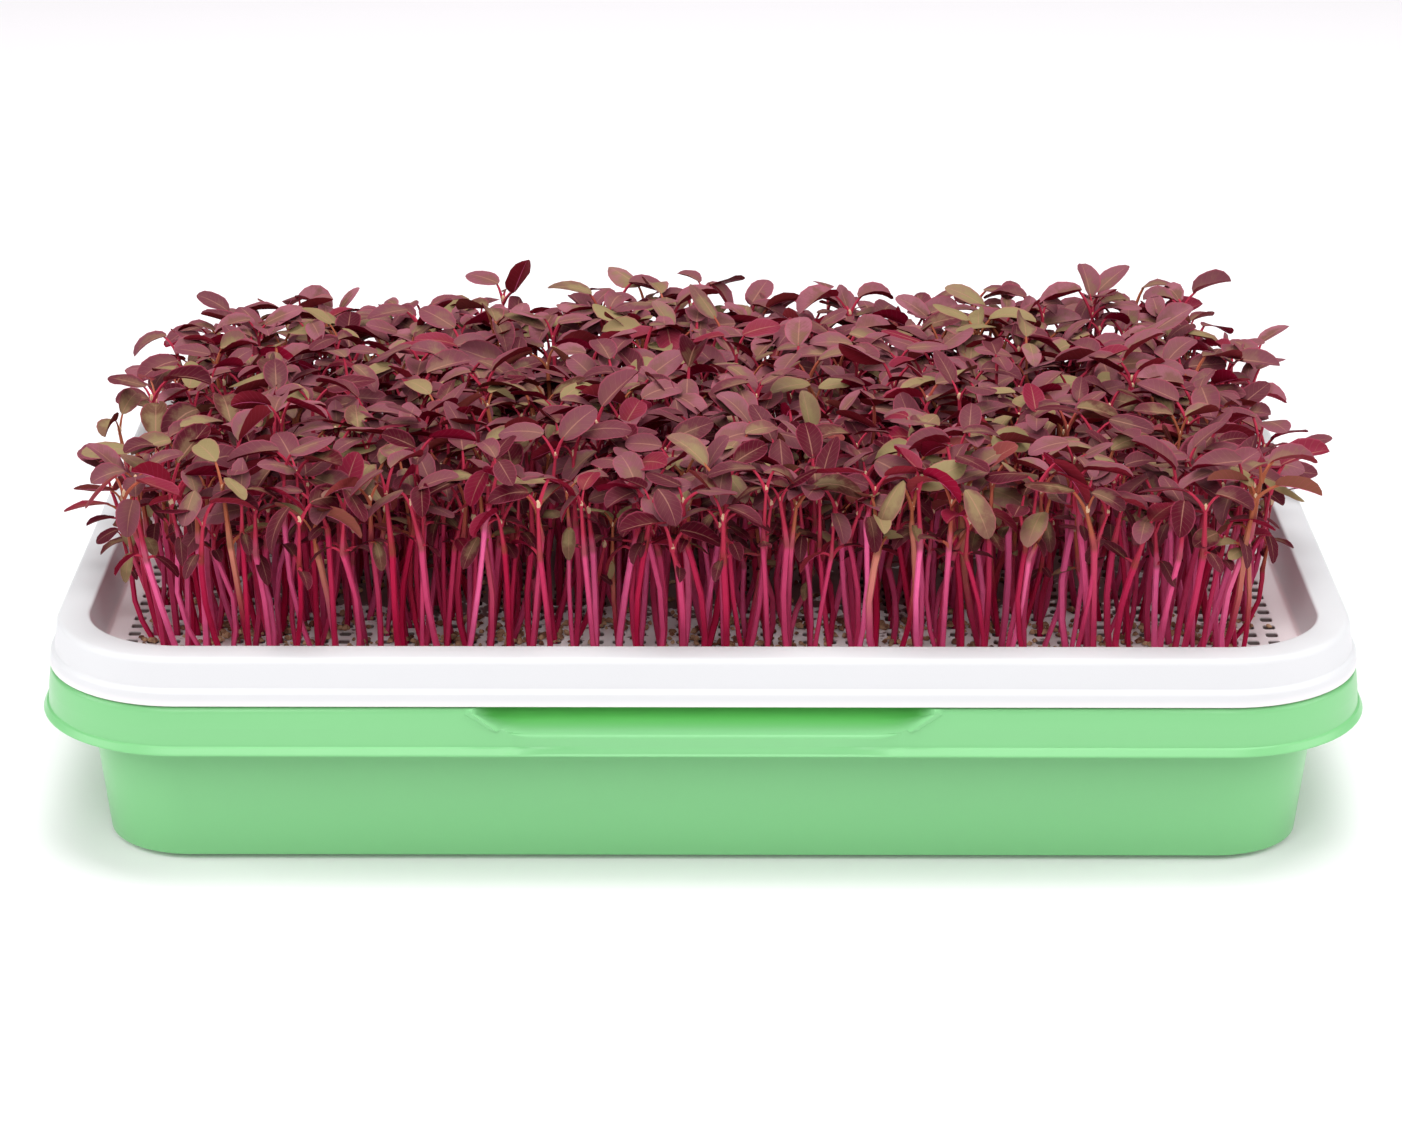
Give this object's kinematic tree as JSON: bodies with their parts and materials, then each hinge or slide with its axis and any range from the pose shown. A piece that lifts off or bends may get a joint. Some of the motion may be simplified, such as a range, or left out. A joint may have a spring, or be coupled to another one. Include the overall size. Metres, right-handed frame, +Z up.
{
  "type": "microgreens tray",
  "caption": "Two-piece sprouting tray, green water tray and white perforated seed tray, full of red amaranth microgreens.",
  "frame": {"origin": "middle of the water tray's footprint, on the surface that it stands on", "axes": "+X along the long side, -Y the front, +Z up"},
  "size_m": [0.34, 0.25, 0.1078],
  "materials": {
    "green_plastic": "satin moulded polypropylene",
    "white_plastic": "satin moulded polypropylene",
    "water": "still clear water",
    "greens": "living seedlings, dusty purple leaves on pink stems",
    "leaf": "soft matte leaf skin, dusty purple above, crimson below, pale veins",
    "stem": "translucent pink stem, satin",
    "root": "matted white root threads",
    "seed_hull": "dry brown seed hulls and tan crumbs"
  },
  "bodies": {
    "root": {"water_tray": "green_plastic", "seed_tray": "white_plastic", "water": "water", "greens_bunch_01": "greens", "greens_bunch_02": "greens", "greens_bunch_03": "greens", "greens_bunch_04": "greens", "greens_bunch_05": "greens", "greens_bunch_06": "greens", "greens_bunch_07": "greens", "greens_bunch_08": "greens", "greens_bunch_09": "greens", "greens_bunch_10": "greens", "greens_bunch_11": "greens", "greens_bunch_12": "greens", "greens_bunch_13": "greens", "greens_bunch_14": "greens", "greens_bunch_15": "greens", "greens_bunch_16": "greens", "greens_bunch_17": "greens", "greens_bunch_18": "greens", "greens_bunch_19": "greens", "greens_bunch_20": "greens", "greens_bunch_21": "greens", "greens_bunch_22": "greens", "greens_bunch_23": "greens", "greens_bunch_24": "greens", "greens_bunch_25": "greens", "greens_bunch_26": "greens", "greens_bunch_27": "greens", "greens_bunch_28": "greens", "greens_bunch_29": "greens", "greens_bunch_30": "greens", "greens_bunch_31": "greens", "greens_bunch_32": "greens", "greens_bunch_33": "greens", "greens_bunch_34": "greens", "greens_bunch_35": "greens", "greens_bunch_36": "greens", "greens_bunch_37": "greens", "greens_bunch_38": "greens", "greens_bunch_39": "greens", "greens_bunch_40": "greens", "greens_bunch_41": "greens", "greens_bunch_42": "greens", "greens_bunch_43": "greens", "greens_bunch_44": "greens", "greens_bunch_45": "greens", "greens_bunch_46": "greens", "greens_bunch_47": "greens", "greens_bunch_48": "greens", "greens_bunch_49": "greens", "greens_bunch_50": "greens", "greens_bunch_51": "greens", "greens_bunch_52": "greens", "greens_bunch_53": "greens", "greens_bunch_54": "greens"}
  },
  "joints": []
}
